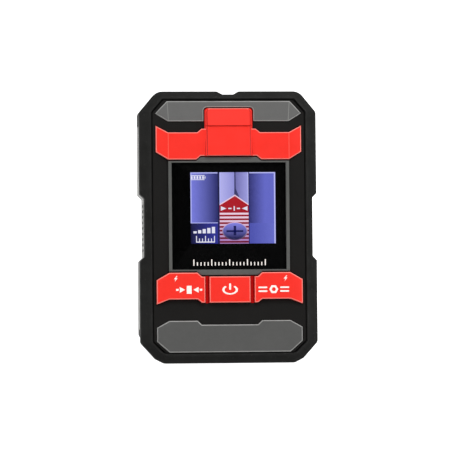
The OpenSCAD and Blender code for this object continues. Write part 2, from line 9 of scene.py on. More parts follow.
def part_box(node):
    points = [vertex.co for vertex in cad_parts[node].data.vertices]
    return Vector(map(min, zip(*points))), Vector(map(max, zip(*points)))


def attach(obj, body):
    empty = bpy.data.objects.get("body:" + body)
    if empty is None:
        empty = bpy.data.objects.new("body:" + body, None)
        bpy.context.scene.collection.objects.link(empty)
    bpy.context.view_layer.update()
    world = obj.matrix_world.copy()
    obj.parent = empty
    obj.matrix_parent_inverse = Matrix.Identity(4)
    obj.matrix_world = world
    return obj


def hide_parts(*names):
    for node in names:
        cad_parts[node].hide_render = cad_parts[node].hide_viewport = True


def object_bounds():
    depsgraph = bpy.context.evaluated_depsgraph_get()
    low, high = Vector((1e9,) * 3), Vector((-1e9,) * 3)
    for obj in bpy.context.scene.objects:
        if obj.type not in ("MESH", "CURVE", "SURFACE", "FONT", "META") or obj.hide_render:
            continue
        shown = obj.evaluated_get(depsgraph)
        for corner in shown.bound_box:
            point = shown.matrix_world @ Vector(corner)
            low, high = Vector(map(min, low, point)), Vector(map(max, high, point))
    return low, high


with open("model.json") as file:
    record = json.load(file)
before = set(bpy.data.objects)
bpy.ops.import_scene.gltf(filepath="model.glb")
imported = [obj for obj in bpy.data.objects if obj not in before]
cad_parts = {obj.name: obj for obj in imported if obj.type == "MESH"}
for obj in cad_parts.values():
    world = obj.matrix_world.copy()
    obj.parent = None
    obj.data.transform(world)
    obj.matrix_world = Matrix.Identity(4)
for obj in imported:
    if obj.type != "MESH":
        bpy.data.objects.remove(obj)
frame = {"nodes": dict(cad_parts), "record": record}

cad_box = [[float(c) for c in corner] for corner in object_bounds()]
MM = 0.001
CASE = "case"
SLOTS = {s["node"]: s["material_slot"] for s in frame["record"]["subparts"]}


def limits(node):
    """A CAD node's box in millimetres."""
    low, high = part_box(node)
    return [c / MM for c in low], [c / MM for c in high]


# ---------------------------------------------------------------- heights and widths, in mm
# Lengths are in millimetres throughout, and MM turns them into metres.
HALF_W = cad_box[1][0] / MM
HALF_L = cad_box[1][1] / MM
SKIRT_Z = limits("rubber_frame")[0][2]
CREASE_Z = limits("rubber_frame")[1][2]
SPLIT_Z = limits("rear_housing")[1][2]
FACE_Z = limits("front_housing")[1][2]
SEAT_Z = limits("upper_panel")[0][2]
PANEL_Z = limits("upper_panel")[1][2]
CREST_Z = limits("red_crest")[1][2]
KEY_LOW, KEY_Z = limits("power_key")[0][2], limits("power_key")[1][2]
BEZEL_Z = limits("display_bezel")[1][2]
LENS_LOW, LENS_HIGH = limits("display_lens")
LCD_TOP = limits("lcd_panel")[1][2]
RIM_Z = SPLIT_Z + 6.0  # the frame's outer edge
SKIN = 1.8  # the frame's thickness
WING_Z = CREST_Z - 1.2  # top of the crest beside its tab
FACE_X = HALF_W - 6.1  # the front housing's flat face
TRIM_X = FACE_X - 1.25  # ends of the trim pieces
FOLD_X = TRIM_X - 5.9  # where their tops fold down
FOLD_DROP = 0.7
FACE_TOP = HALF_L - 4.4
FACE_BOTTOM = -HALF_L + 5.2
GROOVE = 0.5  # gap between the frame and the face
STEP_X = 15.1  # the step in the edges of trim, keys and bezel
SIDE_Y = 47.5  # where the end skirts stop
FOOT_CUT = 1.9  # how far the lower corners are cut back below the rim
CORNER_X, CORNER_Y = 8.1, 9.7
GRIP_Y, GRIP_DEPTH = 15.7, 2.1  # the recess in the middle of each side
NOTCH_W, NOTCH_DEPTH = 10.2, 1.5  # the notch in the top edge


# ---------------------------------------------------------------- shader helpers
DOT_PITCH = 0.17  # the display's dots, in mm
DOT_GAP = 0.14  # the dark part of each dot's width
DUST = (0.6, 0.58, 0.55, 1)


def srgb(r, g, b):
    def lin(c):
        c /= 255.0
        return c / 12.92 if c <= 0.04045 else ((c + 0.055) / 1.055) ** 2.4
    return (lin(r), lin(g), lin(b), 1.0)


def scaled(colour, k):
    return (min(colour[0] * k, 1), min(colour[1] * k, 1), min(colour[2] * k, 1), 1.0)


class Graph:
    """A material's node tree, with short ways to add and join nodes."""

    def __init__(self, name):
        self.mat = bpy.data.materials.new(name)
        self.mat.use_nodes = True
        self.tree = self.mat.node_tree
        self.tree.nodes.clear()
        self.out = self.add("ShaderNodeOutputMaterial")
        self.coord = self.add("ShaderNodeTexCoord").outputs["Object"]

    def add(self, kind, **values):
        node = self.tree.nodes.new(kind)
        for key, value in values.items():
            setattr(node, key, value)
        return node

    def join(self, source, target):
        self.tree.links.new(source, target)

    def put(self, node, **inputs):
        for key, value in inputs.items():
            socket = node.inputs[key.replace("_", " ")]
            if isinstance(value, bpy.types.NodeSocket):
                self.join(value, socket)
            else:
                socket.default_value = value
        return node

    def noise(self, size_mm, detail=3.0, rough=0.55, stretch=None):
        coord = self.coord
        if stretch:
            mapping = self.add("ShaderNodeMapping")
            mapping.inputs["Scale"].default_value = stretch
            self.join(coord, mapping.inputs["Vector"])
            coord = mapping.outputs["Vector"]
        node = self.add("ShaderNodeTexNoise")
        self.put(node, Vector=coord, Scale=1.0 / (size_mm * MM), Detail=detail, Roughness=rough)
        return node.outputs["Fac"]

    def ramp(self, value, low, high, to_low=0.0, to_high=1.0):
        node = self.add("ShaderNodeMapRange")
        self.put(node, Value=value)
        for i, v in enumerate((low, high, to_low, to_high)):
            node.inputs[i + 1].default_value = v
        return node.outputs["Result"]

    def maths(self, operation, a, b=None):
        node = self.add("ShaderNodeMath", operation=operation)
        for i, v in enumerate((a, b)):
            if v is None:
                continue
            if isinstance(v, bpy.types.NodeSocket):
                self.join(v, node.inputs[i])
            else:
                node.inputs[i].default_value = v
        return node.outputs["Value"]

    def mix(self, factor, a, b):
        node = self.add("ShaderNodeMix", data_type="RGBA")
        for socket, v in ((node.inputs[0], factor), (node.inputs[6], a), (node.inputs[7], b)):
            if isinstance(v, bpy.types.NodeSocket):
                self.join(v, socket)
            else:
                socket.default_value = v
        return node.outputs[2]

    def bump(self, height, strength, distance_mm, normal=None):
        node = self.add("ShaderNodeBump")
        self.put(node, Height=height, Strength=strength, Distance=distance_mm * MM)
        if normal is not None:
            self.join(normal, node.inputs["Normal"])
        return node.outputs["Normal"]

    def edges(self, radius_mm):
        """1 on sharp edges, 0 on flats, and the rounded normal."""
        bevel = self.add("ShaderNodeBevel", samples=4)
        bevel.inputs["Radius"].default_value = radius_mm * MM
        true = self.add("ShaderNodeNewGeometry").outputs["Normal"]
        dot = self.add("ShaderNodeVectorMath", operation="DOT_PRODUCT")
        self.join(bevel.outputs["Normal"], dot.inputs[0])
        self.join(true, dot.inputs[1])
        return self.ramp(dot.outputs["Value"], 0.995, 0.86), bevel.outputs["Normal"]


def surface(name, colour, rough=0.5, metal=0.0, spec=0.3, tone=0.06, tone_mm=14.0, grain=0.0,
            grain_mm=0.35, depth_mm=0.05, edge=0.0, edge_mm=0.3, rounding=0.0, coat=0.0, sheen=0.0,
            brushed=None, cells=False, dust=0.0):
    """A plastic, rubber or metal: colour that varies, edges painted lighter as a painted highlight,
    uneven gloss and a grain.
    """
    g = Graph(name)
    bsdf = g.add("ShaderNodeBsdfPrincipled")
    g.join(bsdf.outputs[0], g.out.inputs["Surface"])
    bsdf.inputs["Metallic"].default_value = metal
    bsdf.inputs["Specular IOR Level"].default_value = spec
    bsdf.inputs["Coat Weight"].default_value = coat
    bsdf.inputs["Coat Roughness"].default_value = 0.12
    bsdf.inputs["Sheen Weight"].default_value = sheen
    bsdf.inputs["Sheen Roughness"].default_value = 0.5
    broad = g.noise(tone_mm, 4.0)
    fine = g.noise(tone_mm / 12.0, 3.0)
    both = g.maths("ADD", g.maths("MULTIPLY", broad, 0.6), g.maths("MULTIPLY", fine, 0.4))
    tint = g.mix(g.ramp(both, 0.34, 0.66), scaled(colour, 1 - tone), scaled(colour, 1 + tone))
    normal = None
    if edge or rounding:
        mask, rounded = g.edges(max(edge_mm, rounding))
        if edge:
            # The edges are painted lighter, a painted highlight, broken up by noise.
            painted_edge_highlight = g.maths("MULTIPLY", mask, g.ramp(g.noise(3.0), 0.3, 0.6, 0.45, 1.0))
            painted_edge_highlight = g.maths("MULTIPLY", painted_edge_highlight, edge)
            highlight_colour = tuple(c * 1.5 + 0.03 for c in colour[:3]) + (1.0,)
            tint = g.mix(painted_edge_highlight, tint, highlight_colour)
        if rounding:
            normal = rounded
    if dust:
        speck = g.ramp(g.noise(0.9, 2.0), 0.66, 0.72, 0.0, dust)
        tint = g.mix(speck, tint, DUST)
    g.join(tint, bsdf.inputs["Base Color"])
    gloss = g.ramp(g.noise(5.0, 3.0, stretch=brushed), 0.3, 0.7, rough * 0.86, min(rough * 1.14, 1))
    g.join(gloss, bsdf.inputs["Roughness"])
    if grain:
        if cells:
            voronoi = g.add("ShaderNodeTexVoronoi", feature="SMOOTH_F1")
            g.put(voronoi, Vector=g.coord, Scale=1.0 / (grain_mm * MM))
            height = voronoi.outputs["Distance"]
        else:
            height = g.noise(grain_mm, 2.0, stretch=brushed)
        normal = g.bump(height, grain, depth_mm, normal)
    if normal is not None:
        g.join(normal, bsdf.inputs["Normal"])
    return g.mat


def glow(name, first, second, across, axis="X", ripple=0.05):
    """Lit display colour, a gradient along an axis in mm, with the panel's fine grid of dots."""
    g = Graph(name)
    split = g.add("ShaderNodeSeparateXYZ")
    g.join(g.coord, split.inputs[0])
    along = g.ramp(split.outputs[axis], across[0] * MM, across[1] * MM)
    tint = g.mix(along, first, second)
    wave = g.noise(1.8, 2.0)
    tint = g.mix(g.ramp(wave, 0.35, 0.65, 0.0, ripple), tint, scaled(second, 1.4))
    grid = None
    for a in ("X", "Y"):
        step = g.maths("FRACT", g.maths("DIVIDE", split.outputs[a], DOT_PITCH * MM))
        line = g.maths("GREATER_THAN", step, DOT_GAP)
        grid = line if grid is None else g.maths("MULTIPLY", grid, line)
    tint = g.mix(g.ramp(grid, 0, 1, 0.22, 0.0), tint, (0.01, 0.01, 0.03, 1))
    bsdf = g.add("ShaderNodeBsdfPrincipled")
    bsdf.inputs["Roughness"].default_value = 0.4
    bsdf.inputs["Specular IOR Level"].default_value = 0.1
    bsdf.inputs["Base Color"].default_value = (0.01, 0.01, 0.015, 1)
    bsdf.inputs["Emission Strength"].default_value = 1.0
    g.join(tint, bsdf.inputs["Emission Color"])
    g.join(bsdf.outputs[0], g.out.inputs["Surface"])
    return g.mat


def window_glass():
    """Clear acrylic: see-through, with gloss that grows at shallow angles and faint smears."""
    g = Graph("clear_window")
    fresnel = g.add("ShaderNodeFresnel")
    fresnel.inputs["IOR"].default_value = 1.45
    clear = g.add("ShaderNodeBsdfTransparent")
    clear.inputs["Color"].default_value = (0.97, 0.97, 0.98, 1)
    gloss = g.add("ShaderNodeBsdfGlossy")
    gloss.inputs["Color"].default_value = (1, 1, 1, 1)
    g.join(g.ramp(g.noise(9.0, 2.0), 0.35, 0.7, 0.03, 0.06), gloss.inputs["Roughness"])
    mixed = g.add("ShaderNodeMixShader")
    # Only the outer side of each face reflects: seen from inside, it would be a full mirror.
    outer = g.maths("SUBTRACT", 1.0, g.add("ShaderNodeNewGeometry").outputs["Backfacing"])
    shine = g.maths("MULTIPLY", fresnel.outputs[0], 0.45)
    g.join(g.maths("MULTIPLY", shine, outer), mixed.inputs[0])
    g.join(clear.outputs[0], mixed.inputs[1])
    g.join(gloss.outputs[0], mixed.inputs[2])
    g.join(mixed.outputs[0], g.out.inputs["Surface"])
    return g.mat


BLACK = srgb(23, 22, 21)
RED = srgb(241, 49, 39)
# A material's edge value paints its edges lighter, a painted highlight; rubber, case and shell have
# it.
mats = {
    "rubber": surface("soft_black_rubber", srgb(25, 25, 24), rough=0.7, spec=0.1, tone=0.1,
                      grain=0.35, grain_mm=0.32, depth_mm=0.05, edge=0.3, edge_mm=0.3, dust=0.03),
    "case": surface("black_moulded_plastic", BLACK, rough=0.6, spec=0.12, tone=0.1, grain=0.3,
                    grain_mm=0.22, depth_mm=0.04, rounding=0.25, edge=0.25),
    "shell": surface("grey_moulded_plastic", srgb(130, 130, 128), rough=0.55, spec=0.3, tone=0.05,
                     grain=0.35, grain_mm=0.28, depth_mm=0.05, rounding=0.35, edge=0.4),
    "panel": surface("grey_trim_plastic", srgb(98, 98, 97), rough=0.5, spec=0.2, tone=0.05,
                     tone_mm=26, grain=0.18, grain_mm=0.3, depth_mm=0.03),
    # The lower panel's grey is darker than the upper one's: painted shade.
    "panel_shaded": surface("grey_trim_plastic_painted_shade", srgb(84, 84, 83), rough=0.5, spec=0.2,
                         tone=0.05, tone_mm=26, grain=0.18, grain_mm=0.3, depth_mm=0.03),
    # A lighter grey: a painted highlight on the trim panels' bevelled edges.
    "panel_rim": surface("grey_trim_painted_highlight", srgb(150, 150, 148), rough=0.4, spec=0.3,
                         tone=0.16, tone_mm=9, grain=0.1, grain_mm=0.2),
    "red": surface("red_plastic", RED, rough=0.42, spec=0.22, tone=0.025, tone_mm=20, grain=0.12,
                   grain_mm=0.3, depth_mm=0.02),
    # A lighter red: a painted highlight on the bevelled edges of the red parts.
    "red_rim": surface("red_plastic_painted_highlight", srgb(250, 124, 114), rough=0.36, spec=0.3,
                       tone=0.12, tone_mm=9, grain=0.1, grain_mm=0.2),
    # Lighter grey and red: painted highlights along the folds.
    "panel_fold": surface("grey_trim_painted_fold_highlight", srgb(128, 128, 126), rough=0.45, spec=0.25, tone=0.1,
                          tone_mm=9, grain=0.1, grain_mm=0.3),
    "red_fold": surface("red_plastic_painted_fold_highlight", srgb(250, 92, 80), rough=0.4, spec=0.25, tone=0.06,
                        tone_mm=9, grain=0.1, grain_mm=0.3),
    # A darker red: painted shade on the tab's sloped sides and its crease.
    "red_painted_shade": surface("red_plastic_painted_shade", srgb(190, 26, 20), rough=0.45, spec=0.2, tone=0.05,
                        tone_mm=9, grain=0.1, grain_mm=0.3),
    "web": surface("dark_red_rubber", srgb(188, 4, 3), rough=0.7, spec=0.15, tone=0.1, grain=0.3,
                   grain_mm=0.3, rounding=0.15),
    "bezel": surface("bezel_grey", srgb(87, 88, 86), rough=0.45, spec=0.25, tone=0.1,
                     grain=0.15, grain_mm=0.25, depth_mm=0.03),
    "window": window_glass(),
    "print": surface("black_print", srgb(4, 4, 4), rough=0.5, spec=0.05, tone=0.1, grain=0.05),
    "white_print": surface("white_print", srgb(246, 240, 234), rough=0.5, spec=0.2, tone=0.03,
                           tone_mm=2, grain=0.1, grain_mm=0.1, depth_mm=0.01),
    "foam": surface("black_foam", srgb(28, 28, 28), rough=0.95, spec=0.1, tone=0.2, tone_mm=2,
                    grain=0.8, grain_mm=0.5, depth_mm=0.2, cells=True),
    "steel": surface("tinned_steel", (0.62, 0.61, 0.58, 1), rough=0.3, metal=1, tone=0.06,
                     grain=0.15, grain_mm=0.4, brushed=(0.15, 1, 1), rounding=0.12),
    "nickel": surface("nickel_plate", (0.66, 0.64, 0.6, 1), rough=0.26, metal=1, tone=0.07,
                      tone_mm=3, grain=0.12, grain_mm=0.3, rounding=0.15),
    "natural": surface("natural_plastic", srgb(222, 214, 190), rough=0.5, tone=0.05, grain=0.1,
                       rounding=0.12),
    "film": surface("amber_film", srgb(196, 120, 30), rough=0.25, spec=0.5, tone=0.12, tone_mm=3,
                    coat=0.4, grain=0.05),
    "board": surface("green_solder_mask", srgb(18, 96, 50), rough=0.3, spec=0.5, tone=0.22,
                     tone_mm=5, grain=0.25, grain_mm=0.8, depth_mm=0.03, coat=0.3),
    "chip": surface("moulded_epoxy", srgb(38, 38, 40), rough=0.6, tone=0.1, tone_mm=2, grain=0.3,
                    grain_mm=0.12, depth_mm=0.02, rounding=0.08),
    "ceramic": surface("tan_ceramic", srgb(176, 140, 96), rough=0.45, tone=0.14, tone_mm=1.5,
                       grain=0.1, rounding=0.08),
    "can": surface("aluminium_can", (0.74, 0.74, 0.75, 1), rough=0.28, metal=1, tone=0.05,
                   grain=0.12, grain_mm=0.25, brushed=(1, 1, 0.1), rounding=0.2),
    "copper": surface("lacquered_copper", (0.72, 0.34, 0.16, 1), rough=0.3, metal=1, tone=0.12,
                      tone_mm=2, grain=0.4, grain_mm=0.35, depth_mm=0.05, brushed=(1, 1, 6)),
    "diffuser": surface("white_diffuser", srgb(236, 236, 230), rough=0.6, tone=0.03, grain=0.1),
    "cell": surface("cell_sleeve", srgb(188, 132, 40), rough=0.25, metal=0.6, tone=0.08,
                    tone_mm=8, grain=0.05, coat=0.5, rounding=0.3),
    "wire_red": surface("red_pvc", srgb(190, 20, 16), rough=0.4, tone=0.08, tone_mm=2, grain=0.1),
    "wire_black": surface("black_pvc", srgb(22, 22, 22), rough=0.4, tone=0.1, tone_mm=2, grain=0.1),
    "felt": surface("charcoal_felt", srgb(52, 52, 55), rough=1.0, spec=0.05, tone=0.25, tone_mm=1.5,
                    grain=1.0, grain_mm=0.35, depth_mm=0.25, sheen=0.6, brushed=(1, 0.35, 1)),
    "label": surface("label_film", srgb(176, 177, 178), rough=0.35, metal=0.2, tone=0.03,
                     grain=0.05),
}
BY_SLOT = {
    "grey_shell": "shell", "black_case": "case", "soft_rubber": "rubber", "grey_trim": "panel",
    "red_plastic": "red", "dark_red_rubber": "web", "bezel_grey": "bezel",
    "clear_window": "window", "black_print": "print", "foam": "foam", "lcd_glass": "print",
    "white_diffuser": "diffuser", "tinned_steel": "steel", "natural_plastic": "natural",
    "flex_film": "film", "green_board": "board", "chip_black": "chip", "chip_tan": "ceramic",
    "silver_can": "can", "copper": "copper", "key_steel": "nickel", "cell_jacket": "cell",
    "wire_red": "wire_red", "wire_black": "wire_black", "felt": "felt", "label_film": "label",
}
for node_name, node_object in frame["nodes"].items():
    finish = mats[BY_SLOT[SLOTS[node_name]]]
    if not node_object.material_slots:
        node_object.data.materials.append(finish)
    for material_slot in node_object.material_slots:
        material_slot.material = finish


# ---------------------------------------------------------------- mesh helpers
def finish_piece(obj, finish, body=CASE, replaces=(), slot=None, sharp=32.0):
    obj.data.materials.append(mats[finish] if isinstance(finish, str) else finish)
    if obj.type == "MESH":
        for polygon in obj.data.polygons:
            polygon.use_smooth = True
        obj.data.set_sharp_from_angle(angle=math.radians(sharp))
    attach(obj, body)
    if replaces:
        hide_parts(*replaces)
    return obj


def link(name, bm):
    bmesh.ops.recalc_face_normals(bm, faces=bm.faces)
    mesh = bpy.data.meshes.new(name)
    bm.to_mesh(mesh)
    bm.free()
    obj = bpy.data.objects.new(name, mesh)
    bpy.context.scene.collection.objects.link(obj)
    return obj


def mirrored(half):
    return [tuple(p[:2]) for p in half] + [(-p[0], p[1]) for p in reversed(half)]


def rounded(points):
    """Points (x, y, radius) with each corner turned into an arc."""
    made = []
    for i, (x, y, r) in enumerate(points):
        if not r:
            made.append((x, y))
            continue
        here = Vector((x, y))
        a = (Vector(points[i - 1][:2]) - here).normalized()
        b = (Vector(points[(i + 1) % len(points)][:2]) - here).normalized()
        half = a.angle(b) / 2
        mid = here + (a + b).normalized() * r / math.sin(half)
        start = here + a * r / math.tan(half) - mid
        end = here + b * r / math.tan(half) - mid
        for k in range(6):
            d = start.lerp(end, k / 5).normalized() * r
            made.append((mid.x + d.x, mid.y + d.y))
    return made


def area(points):
    return sum(a[0] * b[1] - b[0] * a[1] for a, b in zip(points, points[1:] + points[:1])) / 2


def inset(points, d):
    """The outline moved inwards by d, with mitred corners."""
    if area(points) < 0:
        points = points[::-1]
    made = []
    for i, p in enumerate(points):
        a, here, b = Vector(points[i - 1]), Vector(p), Vector(points[(i + 1) % len(points)])
        n1 = Vector((-(here - a).y, (here - a).x)).normalized()
        n2 = Vector((-(b - here).y, (b - here).x)).normalized()
        n = (n1 + n2).normalized()
        made.append(tuple(here + n * d / max(n.dot(n1), 0.3)))
    return made


NEAR_FOLD = 0.35  # outline points this close to a fold are put on it


def plate(name, outline, low, top, finish, bevel=0.35, segments=3, holes=(), folds=(), rim=None,
          **kw):
    """A moulded plate with rounded upper edges; top is a height or a function of (x, y)."""
    height = top if callable(top) else (lambda x, y: top)
    bm = bmesh.new()
    for at in folds:
        outline = [(at, y) if abs(x - at) < NEAR_FOLD else (x, y) for x, y in outline]
    loops = [outline if area(outline) > 0 else outline[::-1]]
    loops += [h if area(h) > 0 else h[::-1] for h in holes]
    edges = []
    for loop in loops:
        vs = [bm.verts.new((x, y, 0)) for x, y in loop]
        edges += [bm.edges.new((vs[i - 1], vs[i])) for i in range(len(vs))]
    if holes:
        bmesh.ops.triangle_fill(bm, edges=edges, use_beauty=True)
        bmesh.ops.dissolve_limit(bm, angle_limit=0.02, verts=bm.verts, edges=[
            e for e in bm.edges if len(e.link_faces) == 2])
    else:
        bm.faces.new([e.verts[1] for e in edges])
    for at in folds:
        bmesh.ops.bisect_plane(bm, geom=bm.verts[:] + bm.edges[:] + bm.faces[:], dist=1e-5,
                               plane_co=(at, 0, 0), plane_no=(1, 0, 0))
    made = bmesh.ops.extrude_face_region(bm, geom=bm.faces[:])
    upper = [v for v in made["geom"] if isinstance(v, bmesh.types.BMVert)]
    for v in bm.verts:
        v.co.z = low
    for v in upper:
        v.co.z = height(v.co.x, v.co.y)
    up = set(upper)
    bmesh.ops.recalc_face_normals(bm, faces=bm.faces)
    ring = [e for e in bm.edges if e.verts[0] in up and e.verts[1] in up
            and any(f.normal.z < 0.5 for f in e.link_faces)]
    # With a rim, the bevel round the top takes the rim material, a painted highlight.
    if bevel:
        bmesh.ops.bevel(bm, geom=ring, offset=bevel, segments=segments, profile=0.55,
                        affect="EDGES", clamp_overlap=True, material=1 if rim else -1)
    # The creases along the folds take the fold material, a painted highlight.
    if rim:
        creases = [e for e in bm.edges if e.calc_length() > 1 and any(
            all(abs(v.co.x - at) < 1e-3 and v.co.z > low + 0.5 for v in e.verts)
            for at in folds)]
        bmesh.ops.bevel(bm, geom=creases, offset=0.2, segments=1, profile=0.5, affect="EDGES",
                        clamp_overlap=True, material=2)
    bmesh.ops.scale(bm, vec=(MM, MM, MM), verts=bm.verts)
    obj = finish_piece(link(name, bm), finish, **kw)
    if rim:
        obj.data.materials.append(mats[rim])
        obj.data.materials.append(mats[rim.replace("rim", "fold")])
    flats = obj.modifiers.new("even_flats", "WEIGHTED_NORMAL")
    flats.keep_sharp = True
    return obj


def loft(name, rows, finish, around=True, **kw):
    """Quads between rows of points, the last row joined to the first; around closes each row."""
    bm = bmesh.new()
    grid = [[bm.verts.new((x * MM, y * MM, z * MM)) for x, y, z in row] for row in rows]
    count = len(grid[0])
    for j in range(len(grid)):
        a, b = grid[j], grid[(j + 1) % len(grid)]
        for i in range(count if around else count - 1):
            k = (i + 1) % count
            bm.faces.new((a[i], a[k], b[k], b[i]))
    if not around:
        bm.faces.new([row[0] for row in grid])
        bm.faces.new([row[-1] for row in reversed(grid)])
    return finish_piece(link(name, bm), finish, **kw)


def prism(name, shapes, low, high, finish, **kw):
    """Flat printed shapes, each an outline in mm."""
    bm = bmesh.new()
    for shape in shapes:
        loop = shape if area(shape) > 0 else shape[::-1]
        lower = [bm.verts.new((x * MM, y * MM, low * MM)) for x, y in loop]
        upper = [bm.verts.new((x * MM, y * MM, high * MM)) for x, y in loop]
        bm.faces.new(upper)
        bm.faces.new(lower[::-1])
        for i in range(len(loop)):
            bm.faces.new((lower[i - 1], lower[i], upper[i], upper[i - 1]))
    return finish_piece(link(name, bm), finish, **kw)


def disc(x, y, rx, ry=None, n=40):
    ry = rx if ry is None else ry
    return [(x + rx * math.cos(2 * math.pi * i / n), y + ry * math.sin(2 * math.pi * i / n))
            for i in range(n)]


def rect(x0, x1, y0, y1):
    return [(x0, y0), (x1, y0), (x1, y1), (x0, y1)]


def arc_band(x, y, r0, r1, start, end, n=36):
    angles = [math.radians(start + (end - start) * i / n) for i in range(n + 1)]
    return [(x + r1 * math.cos(a), y + r1 * math.sin(a)) for a in angles] + [
        (x + r0 * math.cos(a), y + r0 * math.sin(a)) for a in reversed(angles)]


def fall(top):
    """A top whose outer ends fold down towards the sides."""
    return lambda x, y: top - max(0.0, abs(x) - FOLD_X) * FOLD_DROP / (TRIM_X - FOLD_X)


# ---------------------------------------------------------------- rubber frame
def frame_sections():
    """Pairs of points round the body, outer edge and crease, from the notch round to the notch."""
    hw, hl = HALF_W, HALF_L
    cx, cy, gl, gd, nw, nd = CORNER_X, CORNER_Y, GRIP_Y, GRIP_DEPTH, NOTCH_W, NOTCH_DEPTH
    fx, ft, fb = FACE_X + GROOVE, FACE_TOP + GROOVE, FACE_BOTTOM - GROOVE
    # Each line is an outer corner, the crease corner beside it and the outer corner's radius.
    half = [
        ((0, hl - nd), (0, ft), 0), ((nw / 4, hl - nd), (nw / 4, ft), 0.35),
        ((nw / 2, hl), (nw / 2, ft), 0.35), ((hw - cx, hl), (fx - 5.1, ft), 6),
        ((hw, hl - cy), (fx, ft - 5.9), 2.4), ((hw, gl), (fx, gl), 0.5),
        ((hw - gd, gl - 2), (fx, gl - 2), 0.5), ((hw - gd, 2 - gl), (fx, 2 - gl), 0.5),
        ((hw, -gl), (fx, -gl), 0.5), ((hw, cy - hl), (fx, fb + 5.3), 2.4),
        ((hw - 0.85 * cx, 2.1 - hl), (fx - 4.6, fb + 0.6), 2.2),
        ((hw - 11, -hl), (fx - 6.2, fb), 3), ((0, -hl), (0, fb), 0),
    ]
    out = []
    for i, (o, c, r) in enumerate(half):
        o, c = Vector(o), Vector(c)
        if not r or i in (0, len(half) - 1):
            out.append((o, c))
            continue
        (oa, ca, _), (ob, cb, _) = half[i - 1], half[i + 1]
        da, db = Vector(oa) - o, Vector(ob) - o
        ta, tb = da.normalized(), db.normalized()
        ang = ta.angle(tb) / 2
        cut = min(r / math.tan(ang), 0.45 * da.length, 0.45 * db.length)
        r = cut * math.tan(ang)
        mid = o + (ta + tb).normalized() * r / math.sin(ang)
        p0, p1 = o + ta * cut - mid, o + tb * cut - mid
        steps = 8 if r > 1 else 4
        for k in range(steps + 1):
            t = k / steps
            d = p0.lerp(p1, t).normalized() * r
            spread = 0.35 * (2 * t - 1)
            toward = Vector(cb) - c if spread > 0 else Vector(ca) - c
            out.append((mid + d, c + toward.normalized() * abs(spread)))
    dense = []
    for (o, c), (o2, c2) in zip(out, out[1:]):
        n = max(1, int((o2 - o).length / 3.0))
        dense += [(o.lerp(o2, k / n), c.lerp(c2, k / n)) for k in range(n)]
    dense.append(out[-1])
    left = [(Vector((-o.x, o.y)), Vector((-c.x, c.y))) for o, c in reversed(dense[1:-1])]
    return dense + left


SECTIONS = frame_sections()
BAND = HALF_W - FACE_X - GROOVE


def frame_point(section, t):
    """A point on the bevelled face: t is 0 at the outer edge and 1 at the crease."""
    o, c = section
    p = o.lerp(c, t)
    away = min(1.0, (p - c).length / BAND)
    return (p.x, p.y, CREASE_Z - (CREASE_Z - RIM_Z) * away)


def inner_point(section, d, z):
    o, c = section
    p = o + (c - o).normalized() * min(d, (c - o).length * 0.9)
    return (p.x, p.y, z)


def cut_back(point):
    """A point of the lower outline, moved in to the line that the lower corners are cut to."""
    a = Vector((HALF_W, CORNER_Y - HALF_L))
    b = Vector((HALF_W - 0.85 * CORNER_X, 2.1 - HALF_L))
    along = (a - b).normalized()
    out = Vector((along.y, -along.x))
    side = -1 if point.x < 0 else 1
    here = Vector((point.x * side, point.y))
    here -= out * max(0.0, (here - a).dot(out) + FOOT_CUT)
    return Vector((here.x * side, here.y))


def build_frame():
    rows = [[(o.x, o.y, SPLIT_Z) for o, c in SECTIONS]]
    rows.append([(o.x, o.y, frame_point((o, c), 0)[2] - 0.9) for o, c in SECTIONS])
    rows.append([(o.x, o.y, frame_point((o, c), 0)[2] - 0.55) for o, c in SECTIONS])
    for d, drop in ((0.07, 0.28), (0.2, 0.1), (0.42, 0.0)):
        row = []
        for o, c in SECTIONS:
            t = d / (c - o).length
            x, y, z = frame_point((o, c), t)
            row.append((x, y, z - drop))
        rows.append(row)
    for t in (0.35, 0.6, 0.82):
        rows.append([frame_point(s, t) for s in SECTIONS])
    for back, drop in ((0.5, 0.05), (0.22, 0.16), (0.06, 0.34), (0.0, 0.6)):
        row = []
        for o, c in SECTIONS:
            d = (o - c).normalized()
            row.append((c.x + d.x * back, c.y + d.y * back, CREASE_Z - drop))
        rows.append(row)
    rows.append([(c.x, c.y, FACE_Z - 1.2) for o, c in SECTIONS])
    rows.append([inner_point(s, 2.4, RIM_Z - 1.4) for s in SECTIONS])
    rows.append([inner_point(s, SKIN, RIM_Z - 1.9) for s in SECTIONS])
    rows.append([inner_point(s, SKIN, SPLIT_Z) for s in SECTIONS])
    loft("rubber_bumper", rows, "rubber", replaces=("rubber_frame",), slot="soft_rubber")
    for name, sign in (("top", 1), ("bottom", -1)):
        run = [s for s in SECTIONS if s[0].y * sign > SIDE_Y]
        # The run starts on one side of the body and ends on the other.
        run.sort(key=lambda s: math.atan2(s[0].x, s[0].y * sign))
        first = (Vector((-HALF_W, SIDE_Y * sign)), Vector((-FACE_X - GROOVE, SIDE_Y * sign)))
        last = (Vector((HALF_W, SIDE_Y * sign)), Vector((FACE_X + GROOVE, SIDE_Y * sign)))
        run = [first] + run + [last]
        if sign < 0:
            run = [(cut_back(o), c) for o, c in run]
        rows = [
            [(o.x, o.y, SPLIT_Z) for o, c in run],
            [(o.x, o.y, SKIRT_Z + 0.9) for o, c in run],
            [inner_point(s, 0.08, SKIRT_Z + 0.45) for s in run],
            [inner_point(s, 0.3, SKIRT_Z + 0.12) for s in run],
            [inner_point(s, 0.6, SKIRT_Z) for s in run],
            [inner_point(s, SKIN - 0.05, SKIRT_Z) for s in run],
            [inner_point(s, SKIN - 0.05, SPLIT_Z) for s in run],
        ]
        loft("rubber_skirt_" + name, rows, "rubber", around=False, slot="soft_rubber")


build_frame()

